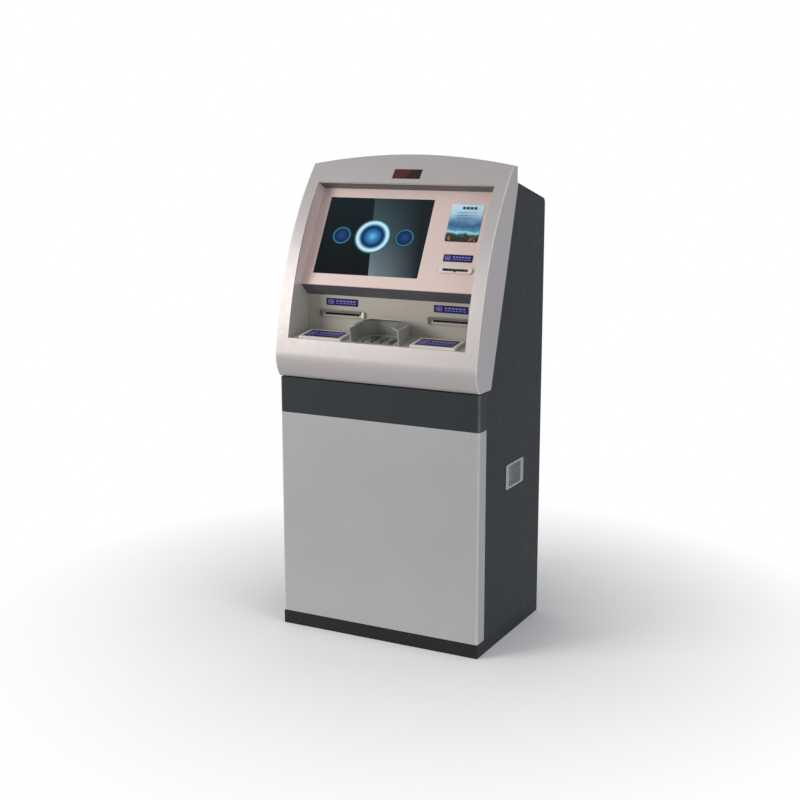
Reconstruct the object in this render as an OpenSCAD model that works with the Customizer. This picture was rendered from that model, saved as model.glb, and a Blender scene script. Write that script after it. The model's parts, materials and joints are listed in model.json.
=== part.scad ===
/* [Overall] */
// Width across the cabinet sides
body_w = 700; // [640:10:840]
// Depth from the nose of the fascia to the back
body_d = 522; // [480:2:626]
// Height at the middle of the arched crown
body_h = 1530; // [1450:5:1600]

/* [Cabinet] */
// Height of the dark plinth
plinth_h = 43; // [36:1:60]
// Height of the top of the front door
door_top_z = 717; // [650:1:730]
// Height of the top of the dark band above the door
band_top_z = 832; // [800:1:850]
// Depth of the front door and band in front of the cabinet
door_t = 52; // [44:1:62]
// Distance that the fascia's nose stands out past the door
nose_overhang = 28; // [20:1:36]
// Height of the roof's front edge
roof_front_z = 1447; // [1400:1:1452]
// Height of the roof's rear edge
roof_back_z = 1390; // [1340:1:1410]
// Thickness of the cabinet's folded steel sheet
sheet_t = 3; // [2.5:0.1:3.6]

/* [Fascia] */
// Thickness of the moulded fascia skin
skin_t = 4; // [3.4:0.1:4.8]
// Radius of the rounded lower nose
nose_r = 100; // [84:1:110]
// Drop of the arched crown at its two ends
crown_drop = 32; // [26:1:38]
// Width of the fascia left on each side of the recess
recess_side = 42; // [38:1:50]
// Lean of the screen panel from upright
panel_lean = 28.1; // [26:0.1:30]

/* [Controls] */
// Width of the touch screen glass
screen_w = 370; // [309:1:400]
// Height of the touch screen glass
screen_h = 263; // [220:1:272]
// Outer radius of the PIN shield
shield_r = 86; // [80:1:92]
// Height of the PIN shield's wall
shield_h = 50; // [42:1:60]
// Travel of a PIN pad key
key_travel = 2; // [1.7:0.1:2.4]

/* [Fits] */
// Radius of the two door pivot pins
pivot_r = 4; // [3.4:0.1:4.8]
// Radius of the fascia hinge pin
hinge_pin_r = 2.5; // [2.1:0.1:3]
// Radial running clearance of every pin in its bore
pin_fit = 0.05; // [0.02:0.01:0.1]
// Gap round a door, a key and the closed fascia
gap = 2; // [1.7:0.1:2.4]

/* [Hidden] */

// Colours of the finishes
charcoal = "#30353a";
band_grey = "#393d40";
base_black = "#23282b";
door_grey = "#a9aaab";
warm_silver = "#b8b0b0";
panel_beige = "#cbb9ae";
niche_grey = "#a9a79a";
navy = "#1c1464";
steel = "#b5b9bc";
dark_plastic = "#1b1c1e";

// Main planes, with the origin under the middle of the overall box
half_w = body_w / 2;
front_y = -body_d / 2;
back_y = body_d / 2;
door_front_y = front_y + nose_overhang;
cab_front_y = door_front_y + door_t;
inner_x = half_w - sheet_t;

// Slanted front edge of the cabinet, behind the fascia
slant_foot_z = band_top_z + 3;
slant_foot_y = cab_front_y + 31;
roof_front_y = back_y - 221;
slant_run = (roof_front_y - slant_foot_y) / (roof_front_z - slant_foot_z);
function slant_y(z) = slant_foot_y + (z - slant_foot_z) * slant_run;

// Fascia front curve: a round nose, then a cubic sweep back to the crown
fascia_base_z = band_top_z + 4;
nose_z = band_top_z + 68;
nose_join_a = 10.2;
chin_a = -37.5;
join_y = front_y + nose_r * (1 - cos(nose_join_a));
join_z = nose_z + nose_r * sin(nose_join_a);
crown_y = roof_front_y - 15;
sweep_rise = body_h - join_z;
sweep_1 = tan(nose_join_a) * sweep_rise;
sweep_2 = 0.21 * (crown_y - join_y);
sweep_3 = crown_y - join_y - sweep_1 - sweep_2;
sweep_steps = 18;
nose_steps = 8;
function sweep_q(z) = (z - join_z) / sweep_rise;
function sweep_y(z) = let (q = sweep_q(z)) join_y + sweep_1 * q + sweep_2 * q * q + sweep_3 * q * q * q;
function sweep_lean(z) =
    let (q = sweep_q(z)) atan((sweep_1 + 2 * sweep_2 * q + 3 * sweep_3 * q * q) / sweep_rise);
// Point on the sweep, moved inwards by depth d along the skin's normal
function sweep_point(z, d) =
    let (a = sweep_lean(z)) [sweep_y(z) + d * cos(a), z - d * sin(a)];
function nose_point(a, d) =
    [front_y + nose_r - (nose_r - d) * cos(a), nose_z + (nose_r - d) * sin(a)];
function sweep_points(z0, z1, d) =
    [for (i = [0:sweep_steps]) sweep_point(z0 + (z1 - z0) * i / sweep_steps, d)];
function nose_points(d) =
    [for (i = [0:nose_steps - 1]) nose_point(chin_a + (nose_join_a - chin_a) * i / nose_steps, d)];
function front_points(d, top_z) = concat(nose_points(d), sweep_points(join_z, top_z, d));

// Recess levels, and the folded path of its back: top edge, panel, step, niche, shelf
recess_x = half_w - recess_side;
recess_w = 2 * recess_x;
recess_top_z = body_h - 88;
recess_low_z = band_top_z + 130;
recess_depth = 45;
liner_t = 3;
liner_gap = 0.6;
panel_top = sweep_point(recess_top_z, 0) + recess_depth * [cos(panel_lean), -sin(panel_lean)];
step_z = recess_low_z + 163;
panel_low = [panel_top[0] - (panel_top[1] - step_z) * tan(panel_lean), step_z];
panel_len = norm(panel_top - panel_low);
niche_y = panel_low[0] + 42;
niche_top_z = step_z - 36;
shelf_front_y = sweep_y(recess_low_z) + skin_t + liner_gap;
shelf_back_z = recess_low_z + 16;
shelf_a = atan((shelf_back_z - recess_low_z) / (niche_y - shelf_front_y));
niche_path = [
    panel_low,
    [niche_y, niche_top_z],
    [niche_y, shelf_back_z],
    [shelf_front_y, recess_low_z]
];

// Places on the screen panel, from its lower edge
screen_x = -89;
screen_up = panel_len - 32 - screen_h / 2;
glass_back = 3;
card_x = 215;
card_size = [110, 124];
card_up = panel_len - 107;
top_label_size = [98, 24];
top_label_up = panel_len - 223;
receipt_x = 220;
receipt_up = panel_len - 263;
receipt_size = [113, 21];
receipt_slot = [86, 9];

// Places in the niche
slot_xs = [-179, 206];
slot_z = recess_low_z + 69;
slot_size = [126, 8];
slot_bezel = [161, 22];
label_xs = [-181, 202];
label_z = slot_z + 37;
label_size = [116, 23];
pad_x = 196;
pad_size = [150, 81, 9];
pad_film = [130, 67, 1];
shield_t = 5;
shield_straight = 22;
shield_corner = 45;
shield_lip = 22;

// PIN pad and its keys: three columns and four rows
pin_pad_size = [104, 70];
pin_pad_depth = 16;
pin_pad_up = 46;
key_size = [25, 12];
key_pitch = [32, 16];
key_gap = 0.3;
key_stand = key_travel + 1;
key_rim = 1.2;

// Fascia hinge axis and gas struts. The strut's far eye rides loosely on its stud.
hinge_y = roof_front_y - 4;
hinge_z = roof_front_z + 14;
knuckle_r = 5.5;
strut_x = half_w - 28;
strut_stud = [hinge_y - 70.3, hinge_z - 124.7];
strut_root = [hinge_y + 81.2, hinge_z - 109.1];
strut_len = 154.2;
strut_a = 185.8;
strut_stud_r = 4;
strut_eye_slack = 3;
stud_in = 10;
strut_tube_r = 8;
strut_bore_r = 6;
strut_rod_r = 3.5;
strut_tube_len = 115;
strut_bore = [18, 114];
strut_piston = [20, 8];

// Front door pivot and rear door pivot
pivot_in = 8;
door_pivot = [-half_w + pivot_in, cab_front_y - 1 - pivot_in];
rear_post_w = 50;
rear_post_d = 26;
rear_lip = 18;
rear_low_z = 125;
rear_top_z = roof_back_z - 40;
rear_half_w = half_w - rear_post_w - gap;
rear_pivot = [-rear_half_w + pivot_in, back_y - pivot_in];
rear_door_t = 20;
lock_x = rear_half_w - 22;
lock_z = 780;
lock_r = 9;
cam_len = 40;

// Mains inlet on the back: its flange and the body and socket behind it
inlet_x = 250;
inlet_z = 84;
inlet_size = [50, 28];
inlet_body = [28, 40, 20];
inlet_socket = [22, 18, 14];
inlet_screw = [20, 1.7];

// Anchor holes in the floor pan
anchor_r = 7;
anchor_dx = 600;
anchor_dy = 320;
anchor_y = (cab_front_y + back_y) / 2;

// Fan on the rear door
fan_r = 58;
fan_z = 1230;
fan_t = 25;
fan_frame = 2 * fan_r + 8;
fan_hub = 20;
fan_shaft_r = 3;
fan_at_y = back_y - 2;

// ---- Helpers ----
// Draws a (Y, Z) outline and runs it along X, centred
module along_x(w) {
    translate([-w / 2, 0, 0])
        rotate([90, 0, 90])
            linear_extrude(w) children();
}

// A round bar along X from x0 to x1, through the point [y, z]
module bar_x(x0, x1, at, r) {
    translate([x0, at[0], at[1]])
        rotate([0, 90, 0])
            cylinder(h = x1 - x0, r = r, $fn = 48);
}

// A box from one corner to the opposite corner
module block(a, b) {
    translate(a) cube(b - a);
}

// A rounded rectangle, centred, as a plate of thickness t
module round_plate(size, r, t) {
    linear_extrude(t) round_outline(size, r);
}

module round_outline(size, r) {
    square([size[0] - 2 * r, size[1]], center = true);
    square([size[0], size[1] - 2 * r], center = true);
    for (x = [-1, 1], y = [-1, 1]) {
        translate([x * (size[0] / 2 - r), y * (size[1] / 2 - r)]) circle(r = r, $fn = 32);
    }
}

// Folded path moved sideways by t, with mitred corners
function side_normal(a, b) = let (d = (b - a) / norm(b - a)) [-d[1], d[0]];
function shifted(p, t) = [
    for (i = [0:len(p) - 1])
        let (
            n0 = side_normal(p[max(i - 1, 0)], p[max(i, 1)]),
            n1 = side_normal(p[min(i, len(p) - 2)], p[min(i + 1, len(p) - 1)]),
            m = (n0 + n1) / norm(n0 + n1)
        )
        p[i] + m * t / (m * n0)
];
function reversed(p) = [for (i = [len(p) - 1:-1:0]) p[i]];
module folded_sheet(path, t, w) {
    along_x(w) polygon(concat(path, reversed(shifted(path, t))));
}

// Places children on the screen panel: X right, Y up the panel, Z out of it
module on_panel(x, up) {
    translate([x, panel_low[0], panel_low[1]])
        rotate([90 - panel_lean, 0, 0])
            translate([0, up, 0]) children();
}

// Places children on the upright niche wall
module on_niche(x, z) {
    translate([x, niche_y, z]) rotate([90, 0, 0]) children();
}

// Places children on the sloping shelf, with Y measured back from its front edge
module on_shelf(x, y) {
    translate([x, shelf_front_y, recess_low_z])
        rotate([shelf_a, 0, 0])
            translate([0, y, 0]) children();
}

// The arch that shapes the crown, as a solid through the whole depth
module crown_arch() {
    steps = 24;
    reach = half_w + 1;
    translate([0, body_d, 0])
        rotate([90, 0, 0])
            linear_extrude(2 * body_d)
                polygon(concat(
                    [[reach, 0]],
                    [for (i = [0:steps])
                        let (x = reach * (1 - 2 * i / steps))
                        [x, body_h - crown_drop * pow(x / half_w, 2)]],
                    [[-reach, 0]]
                ));
}

// ---- Cabinet ----
roof_corner = [
    [back_y - 12, roof_back_z + 3],
    [back_y - 4, roof_back_z - 2],
    [back_y, roof_back_z - 12]
];
side_outline = concat(
    [
        [cab_front_y, plinth_h],
        [cab_front_y, slant_foot_z],
        [slant_foot_y, slant_foot_z],
        [roof_front_y, roof_front_z]
    ],
    roof_corner,
    [[back_y, plinth_h]]
);
handle_y = door_front_y + 276;
handle_wall = 2;
handle_z = 531;
handle_size = [141, 81];
handle_mouth = [95, 66];
handle_depth = 34;
handle_proud = 2;

module plinth() {
    color(base_black) difference() {
        block([-half_w, door_front_y, 0], [half_w, back_y, plinth_h]);
        block([-inner_x, door_front_y + sheet_t, -1], [inner_x, back_y - sheet_t, plinth_h - sheet_t]);
        block([-inner_x, cab_front_y, 1], [inner_x, back_y - sheet_t, plinth_h + 1]);
        translate([door_pivot[0], door_pivot[1], 1])
            cylinder(h = plinth_h, r = pivot_r + sheet_t, $fn = 48);
    }
}

module floor_pan() {
    color(steel) difference() {
        block([-inner_x, cab_front_y, plinth_h - sheet_t], [inner_x, back_y - sheet_t, plinth_h]);
        for (x = [-1, 1], y = [-1, 1]) {
            translate([x * anchor_dx / 2, anchor_y + y * anchor_dy / 2, 0])
                cylinder(h = plinth_h + 1, r = anchor_r, $fn = 48);
        }
    }
}

module side_panel() {
    difference() {
        union() {
            translate([inner_x, 0, 0])
                rotate([90, 0, 90])
                    linear_extrude(sheet_t) polygon(side_outline);
            bar_x(strut_x - stud_in, inner_x + 1, strut_root, strut_stud_r);
        }
        block([inner_x - 1, handle_y - handle_mouth[0] / 2 - handle_wall,
                handle_z - handle_mouth[1] / 2 - handle_wall],
            [half_w + 1, handle_y + handle_mouth[0] / 2 + handle_wall,
                handle_z + handle_mouth[1] / 2 + handle_wall]);
    }
}

module side_panel_left() {
    color(charcoal) mirror([1, 0, 0]) side_panel();
}

module side_panel_right() {
    color(charcoal) side_panel();
}

module rear_frame() {
    y0 = back_y - sheet_t;
    roof_low = roof_back_z - rear_lip;
    color(charcoal) union() {
        for (s = [-1, 1]) {
            mirror([s < 0 ? 1 : 0, 0, 0]) {
                block([half_w - rear_post_w, y0, plinth_h], [inner_x, back_y, roof_low]);
                block([half_w - rear_post_w, back_y - rear_post_d, plinth_h],
                    [half_w - rear_post_w + sheet_t, back_y, roof_low]);
            }
        }
        difference() {
            union() {
                block([-inner_x, y0, plinth_h], [inner_x, back_y, rear_low_z - gap]);
                block([-inner_x, y0, rear_top_z + gap], [inner_x, back_y, roof_low]);
                for (z = [rear_low_z - gap - sheet_t, rear_top_z + gap]) {
                    block([-inner_x, back_y - rear_post_d, z], [inner_x, back_y, z + sheet_t]);
                }
            }
            translate([inlet_x, 0, inlet_z])
                block([-inlet_size[0] / 2, y0 - 1, -inlet_size[1] / 2],
                    [inlet_size[0] / 2, back_y + 1, inlet_size[1] / 2]);
            for (z = [rear_low_z - gap - sheet_t, rear_top_z + gap]) {
                translate([rear_pivot[0], rear_pivot[1], z - 1])
                    cylinder(h = sheet_t + 2, r = pivot_r + sheet_t, $fn = 48);
            }
        }
    }
}

module roof_panel() {
    front_lip = [6, 20];
    path = concat(
        [[roof_front_y, roof_front_z] - front_lip, [roof_front_y, roof_front_z]],
        roof_corner,
        [[back_y, roof_back_z - rear_lip]]
    );
    color(charcoal) folded_sheet(path, -sheet_t, 2 * inner_x);
}

module front_frame() {
    lip = 10;
    lip_t = 4;
    lip_z = roof_front_z - 24;
    sill_h = 12;
    color(base_black) union() {
        for (s = [0, 1]) {
            mirror([s, 0, 0]) {
                block([inner_x - lip, cab_front_y, plinth_h],
                    [inner_x, cab_front_y + sheet_t, band_top_z]);
                translate([inner_x - lip, 0, 0])
                    rotate([90, 0, 90])
                        linear_extrude(lip)
                            polygon([
                                [slant_foot_y, slant_foot_z], [slant_y(lip_z), lip_z],
                                [slant_y(lip_z) + lip_t, lip_z], [slant_foot_y + lip_t, slant_foot_z]
                            ]);
            }
        }
        block([-inner_x, cab_front_y, band_top_z], [inner_x, slant_foot_y + lip_t, band_top_z + sheet_t]);
        block([-inner_x, cab_front_y, door_top_z - lip], [inner_x, cab_front_y + sheet_t, band_top_z]);
        block([-inner_x, cab_front_y, plinth_h], [inner_x, cab_front_y + sheet_t, plinth_h + sill_h]);
    }
}

module band_panel() {
    color(band_grey) difference() {
        block([-half_w, door_front_y, door_top_z + gap], [half_w, cab_front_y, band_top_z]);
        block([-inner_x, door_front_y + sheet_t, door_top_z + gap + sheet_t],
            [inner_x, cab_front_y + 1, band_top_z - sheet_t]);
        translate([door_pivot[0], door_pivot[1], door_top_z])
            cylinder(h = 30, r = pivot_r + sheet_t, $fn = 48);
    }
}

transport = [[130, niche_y + 28], [244, niche_y + 83]];
module mid_shelf() {
    z0 = band_top_z - sheet_t;
    y1 = back_y - rear_post_d - 1;
    shelf_lip = 20;
    opening = 4;
    color(steel) difference() {
        union() {
            block([-inner_x, cab_front_y + sheet_t, z0], [inner_x, y1, band_top_z]);
            block([-inner_x, y1 - sheet_t, z0 - shelf_lip], [inner_x, y1, z0]);
        }
        block([transport[0][0] - opening, transport[0][1] - opening, z0 - 1],
            [transport[1][0] + opening, transport[1][1] + opening, band_top_z + 1]);
    }
}

module side_handle() {
    wall = handle_wall;
    translate([half_w, handle_y, handle_z]) rotate([90, 0, 90]) difference() {
        union() {
            round_plate(handle_size, 8, handle_proud);
            translate([0, 0, -handle_depth])
                linear_extrude(handle_depth)
                    square([handle_mouth[0] + 2 * wall, handle_mouth[1] + 2 * wall], center = true);
        }
        translate([0, 0, wall - handle_depth])
            linear_extrude(handle_depth + 5) square(handle_mouth, center = true);
    }
}

module side_handles() {
    color(steel) union() {
        side_handle();
        mirror([1, 0, 0]) side_handle();
    }
}

module levelling_feet() {
    inset = [28, 40];
    foot = [18, 9];
    stem_r = 5;
    color(dark_plastic) for (x = [-1, 1], y = [cab_front_y + inset[1], back_y - inset[1]]) {
        translate([x * (half_w - inset[0]), y, 0]) {
            cylinder(h = foot[1], r = foot[0], $fn = 48);
            cylinder(h = plinth_h - sheet_t, r = stem_r, $fn = 32);
        }
    }
}

module power_inlet() {
    translate([inlet_x, back_y, inlet_z]) color(dark_plastic) difference() {
        union() {
            block([-inlet_body[0] / 2, -inlet_body[1], -inlet_body[2] / 2],
                [inlet_body[0] / 2, 0, inlet_body[2] / 2]);
            block([-inlet_size[0] / 2, -sheet_t, -inlet_size[1] / 2],
                [inlet_size[0] / 2, 0, inlet_size[1] / 2]);
        }
        block([-inlet_socket[0] / 2, -inlet_socket[1], -inlet_socket[2] / 2],
            [inlet_socket[0] / 2, 1, inlet_socket[2] / 2]);
        for (s = [-1, 1]) {
            translate([s * inlet_screw[0], 1, 0]) rotate([90, 0, 0])
                cylinder(h = sheet_t + 2, r = inlet_screw[1], $fn = 24);
        }
    }
}

safe_x = 258;
safe_top_z = door_top_z - 14;
unit_back_y = back_y - 60;
safe_back_y = unit_back_y;
safe_wall = 8;
safe_front_y = cab_front_y + 26;
module safe_box() {
    opening = 3;
    color("#4a4e50") difference() {
        block([-safe_x, safe_front_y, plinth_h], [safe_x, safe_back_y, safe_top_z]);
        block([-safe_x + safe_wall, safe_front_y - 1, plinth_h + safe_wall],
            [safe_x - safe_wall, safe_back_y - safe_wall, safe_top_z - safe_wall]);
        block([transport[0][0] - opening, transport[0][1] - opening, safe_top_z - safe_wall - 1],
            [transport[1][0] + opening, transport[1][1] + opening, safe_top_z + 1]);
    }
}

// The dispenser: a rack for the cassettes, with a note transport rising to the outlet
cassette_size = [430, 250, 92];
cassette_x0 = -200;
cassette_low_z = plinth_h + safe_wall;
cassette_pitch = 112;
cassette_y0 = cab_front_y + 36;
dispenser_z = cassette_low_z + 4 * cassette_pitch;
rack_wall = 4;
tray_t = 3;
head_h = 90;
outlet_size = [136, 36];
note_reach = 60;
module cash_dispenser() {
    outlet_x = slot_xs[1] - 2;
    outlet_z = slot_z - 2;
    x0 = cassette_x0 - rack_wall - 1;
    x1 = cassette_x0 + cassette_size[0] + rack_wall + 1;
    y1 = cassette_y0 + cassette_size[1];
    color("#8a8f92") union() {
        block([x0, cassette_y0, dispenser_z], [x1, y1, dispenser_z + head_h]);
        for (x = [x0, x1 - rack_wall]) {
            block([x, cassette_y0, cassette_low_z], [x + rack_wall, y1, dispenser_z + 1]);
        }
        for (i = [0:3]) {
            block([x0 + 1, cassette_y0, cassette_low_z + i * cassette_pitch],
                [x1 - 1, y1, cassette_low_z + i * cassette_pitch + tray_t]);
        }
        block([transport[0][0], transport[0][1], dispenser_z + head_h - 1],
            [transport[1][0], transport[1][1], outlet_z - outlet_size[1] / 2 + 2]);
        difference() {
            block([outlet_x - outlet_size[0] / 2, niche_y + 10, outlet_z - outlet_size[1] / 2],
                [outlet_x + outlet_size[0] / 2, transport[1][1], outlet_z + outlet_size[1] / 2]);
            block([slot_xs[1] - slot_size[0] / 2, niche_y, slot_z - slot_size[1] / 2],
                [slot_xs[1] + slot_size[0] / 2, niche_y + note_reach, slot_z + slot_size[1] / 2]);
        }
    }
}

module cash_cassettes() {
    x1 = cassette_x0 + cassette_size[0];
    grip_in = 150;
    grip_d = 20;
    grip_z = [40, 62];
    color("#2f4a66") for (i = [0:3]) {
        translate([0, cassette_y0, cassette_low_z + i * cassette_pitch + tray_t]) difference() {
            block([cassette_x0, 2, 0], [x1, cassette_size[1] - 2, cassette_size[2]]);
            block([cassette_x0 + grip_in, 1, grip_z[0]], [x1 - grip_in, 2 + grip_d, grip_z[1]]);
        }
    }
}

// A module case with a row of upright vent slots in its front face
module vented_case(at, size, vents, vent, vent_pitch, vent_at) {
    translate([at[0], at[1], band_top_z]) difference() {
        cube(size);
        for (i = [0:vents - 1]) {
            translate([vent_at[0] + i * vent_pitch, -1, vent_at[1]]) cube(vent);
        }
    }
}

module computer() {
    size = [270, 221, 100];
    color("#3a3d40")
        vented_case([-310, unit_back_y - size[1]], size, 8, [10, 9, 60], 30, [20, 20]);
}

module power_supply() {
    size = [120, 141, 65];
    color("#9a9da0")
        vented_case([60, unit_back_y - size[1]], size, 5, [10, 7, 35], 20, [15, 15]);
}

// Flanged bushes that hold the pivot pins of both doors
module bush(bore_r) {
    difference() {
        cylinder(h = sheet_t, r = pivot_r + sheet_t, $fn = 48);
        translate([0, 0, -1]) cylinder(h = sheet_t + 2, r = bore_r, $fn = 48);
    }
}

module pivot_bushes() {
    bore_r = pivot_r + pin_fit;
    color("#b08a4a") union() {
        translate([door_pivot[0], door_pivot[1], plinth_h - sheet_t]) bush(bore_r);
        translate([door_pivot[0], door_pivot[1], door_top_z + gap]) bush(bore_r);
        for (z = [rear_low_z - gap - sheet_t, rear_top_z + gap]) {
            translate([rear_pivot[0], rear_pivot[1], z]) bush(bore_r);
        }
    }
}

// Fascia hinge: fixed leaves with the pin, and the knuckles that turn on it
hinge_xs = [-220, 220];
hinge_w = 120;
knuckles = 5;
knuckle_w = hinge_w / knuckles;
knuckle_gap = 0.3;
leaf_t = 3;
leaf_ys = [roof_front_y + 8, roof_front_y + 34];
roof_slope = (roof_front_z - roof_back_z - 3) / (back_y - 12 - roof_front_y);
function roof_z(y) = roof_front_z - (y - roof_front_y) * roof_slope;
module hinge_leaves() {
    color(steel) for (x = hinge_xs) {
        for (i = [0:2:knuckles - 1]) {
            x0 = x - hinge_w / 2 + i * knuckle_w + knuckle_gap;
            bar_x(x0, x0 + knuckle_w - 2 * knuckle_gap, [hinge_y, hinge_z], knuckle_r);
            translate([x0, 0, 0])
                rotate([90, 0, 90])
                    linear_extrude(knuckle_w - 2 * knuckle_gap)
                        polygon([
                            [hinge_y + 2, hinge_z - 3], [hinge_y + 5, hinge_z],
                            [leaf_ys[0] + 1, roof_z(leaf_ys[0] + 1) + leaf_t],
                            [leaf_ys[0] + 1, roof_z(leaf_ys[0] + 1)],
                            [leaf_ys[0] - 4, roof_z(leaf_ys[0] - 4)]
                        ]);
        }
        bar_x(x - hinge_w / 2, x + hinge_w / 2, [hinge_y, hinge_z], hinge_pin_r);
        translate([x, 0, 0]) along_x(hinge_w)
            polygon([
                [leaf_ys[0], roof_z(leaf_ys[0])],
                [leaf_ys[1], roof_z(leaf_ys[1])],
                [leaf_ys[1], roof_z(leaf_ys[1]) + leaf_t],
                [leaf_ys[0], roof_z(leaf_ys[0]) + leaf_t]
            ]);
    }
}

module hinge_knuckles() {
    arm_t = 4;
    plate_t = 2;
    plate_top = 30;
    color(steel) for (x = hinge_xs) {
        for (i = [1:2:knuckles - 1]) {
            x0 = x - hinge_w / 2 + i * knuckle_w + knuckle_gap;
            difference() {
                union() {
                    bar_x(x0, x0 + knuckle_w - 2 * knuckle_gap, [hinge_y, hinge_z], knuckle_r);
                    block([x0, crown_rear_y, hinge_z],
                        [x0 + knuckle_w - 2 * knuckle_gap, hinge_y, hinge_z + arm_t]);
                }
                bar_x(x0 - 1, x0 + knuckle_w, [hinge_y, hinge_z], hinge_pin_r + pin_fit);
            }
        }
        block([x - hinge_w / 2, crown_rear_y, hinge_z + knuckle_r + 1],
            [x + hinge_w / 2, crown_rear_y + plate_t, hinge_z + plate_top]);
        for (i = [1:2:knuckles - 1]) {
            x0 = x - hinge_w / 2 + i * knuckle_w + knuckle_gap;
            block([x0, crown_rear_y, hinge_z + arm_t - 1],
                [x0 + knuckle_w - 2 * knuckle_gap, crown_rear_y + plate_t, hinge_z + knuckle_r + 2.5]);
        }
    }
}

// Flush screws: handle corners on both sides, and the rear posts
module cabinet_screws() {
    handle_screw = [3, 1.2];
    post_screw = [3.5, 2.2];
    screw_in = [12, 20];
    color(steel) {
        for (s = [-1, 1], y = [-1, 1], z = [-1, 1]) {
            translate([
                s * (half_w + handle_proud),
                handle_y + y * (handle_size[0] / 2 - screw_in[0]),
                handle_z + z * (handle_size[1] / 2 - screw_in[1])
            ])
                rotate([0, s * 90, 0]) translate([0, 0, -handle_screw[1]])
                    cylinder(h = handle_screw[1] + 0.3, r = handle_screw[0], $fn = 32);
        }
        for (x = [-1, 1], z = [200:300:1100]) {
            translate([x * (half_w - screw_in[1]), back_y - post_screw[1], z]) rotate([-90, 0, 0])
                cylinder(h = post_screw[1], r = post_screw[0], $fn = 32);
        }
    }
}

// ---- Front door ----
door_low_z = plinth_h + gap;
pan_x = half_w - 20;
pan_t = 20;
pan_in = 20;
pan_wall = 2;
pin_len = 16;
pin_seat = 12;
module front_door() {
    y0 = door_front_y;
    y1 = cab_front_y - 1;
    color(door_grey) difference() {
        union() {
            block([-half_w + pivot_in, y0, door_low_z], [half_w, y1, door_top_z]);
            block([-half_w, y0, door_low_z], [-half_w + pivot_in + 1, door_pivot[1], door_top_z]);
            translate([door_pivot[0], door_pivot[1], door_low_z])
                cylinder(h = door_top_z - door_low_z, r = pivot_in, $fn = 48);
            block([-pan_x, y1 - 1, door_low_z + pan_in], [pan_x, y1 + pan_t, door_top_z - pan_in]);
        }
        block([-half_w + 2 * pivot_in + 2, y0 + sheet_t, door_low_z + sheet_t],
            [half_w - sheet_t, y1 - 2, door_top_z - sheet_t]);
        block([-pan_x + pan_wall, y1, door_low_z + pan_in + pan_wall],
            [pan_x - pan_wall, y1 + pan_t + 1, door_top_z - pan_in - pan_wall]);
        for (z = bolt_zs) bar_x(pan_x - 4, pan_x + 1, [bolt_y, z], bolt_r + pin_fit);
        for (z = [door_low_z - 1, door_top_z - pin_seat]) {
            translate([door_pivot[0], door_pivot[1], z])
                cylinder(h = pin_seat + 1, r = pivot_r, $fn = 48);
        }
    }
}

module door_pins() {
    color(steel) union() {
        translate([door_pivot[0], door_pivot[1], plinth_h - sheet_t])
            cylinder(h = pin_len, r = pivot_r, $fn = 48);
        translate([door_pivot[0], door_pivot[1], door_top_z + gap + sheet_t - pin_len])
            cylinder(h = pin_len, r = pivot_r, $fn = 48);
    }
}

bolt_r = 7;
bolt_x = pan_x - 40;
bolt_y = cab_front_y - 1 + 12;
bolt_zs = [150, 380, 610];
bar_size = [20, 6, 20];
knob = [8, 6];
module door_bolts() {
    color(steel) union() {
        for (z = bolt_zs) bar_x(bolt_x, pan_x, [bolt_y, z], bolt_r);
        block([bolt_x - bar_size[0] / 2, bolt_y - bar_size[1] / 2, bolt_zs[0] - bar_size[2]],
            [bolt_x + bar_size[0] / 2, bolt_y + bar_size[1] / 2, bolt_zs[2] + bar_size[2]]);
        translate([bolt_x, bolt_y + bar_size[1] / 2 - 1, bolt_zs[1]]) rotate([-90, 0, 0])
            cylinder(h = knob[1], r = knob[0], $fn = 32);
    }
}

// ---- Rear door ----
vent_size = [90, 5];
vent_pitch = 14;
module vent_slot(x, z) {
    block([x - vent_size[0] / 2, back_y - 5, z],
        [x + vent_size[0] / 2, back_y + 1, z + vent_size[1]]);
}

module rear_door() {
    y0 = back_y - rear_door_t;
    skin = 2;
    color(charcoal) difference() {
        union() {
            block([-rear_half_w + pivot_in, y0, rear_low_z], [rear_half_w, back_y, rear_top_z]);
            block([-rear_half_w, y0, rear_low_z], [-rear_half_w + pivot_in + 1, rear_pivot[1], rear_top_z]);
            translate([rear_pivot[0], rear_pivot[1], rear_low_z])
                cylinder(h = rear_top_z - rear_low_z, r = pivot_in, $fn = 48);
        }
        block([-rear_half_w + 2 * pivot_in + 2, y0 - 1, rear_low_z + skin],
            [rear_half_w - skin, back_y - skin, rear_top_z - skin]);
        for (x = [-150, 150], i = [0:7]) vent_slot(x, 260 + i * vent_pitch);
        for (i = [0:6]) vent_slot(0, fan_z - vent_size[0] / 2 + i * vent_pitch);
        translate([lock_x, back_y + 1, lock_z]) rotate([90, 0, 0])
            cylinder(h = 10, r = lock_r + pin_fit, $fn = 48);
        for (z = [rear_low_z - 1, rear_top_z - pin_seat]) {
            translate([rear_pivot[0], rear_pivot[1], z])
                cylinder(h = pin_seat + 1, r = pivot_r, $fn = 48);
        }
    }
}

module rear_door_pins() {
    color(steel) for (z = [rear_low_z - gap - sheet_t, rear_top_z + gap + sheet_t - pin_len]) {
        translate([rear_pivot[0], rear_pivot[1], z]) cylinder(h = pin_len, r = pivot_r, $fn = 48);
    }
}

module lock_plug() {
    barrel = 30;
    cam = [16, 3];
    keyway = [2, 5, 8];
    color(steel) difference() {
        union() {
            translate([lock_x, back_y, lock_z]) rotate([90, 0, 0])
                cylinder(h = barrel + 1, r = lock_r, $fn = 48);
            block([lock_x - cam[0] / 2, back_y - barrel - cam[1], lock_z - cam[0] / 2],
                [lock_x + cam[0] / 2, back_y - barrel, lock_z + cam_len]);
        }
        block([lock_x - keyway[0] / 2, back_y - keyway[1], lock_z - keyway[2] / 2],
            [lock_x + keyway[0] / 2, back_y + 1, lock_z + keyway[2] / 2]);
    }
}

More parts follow.
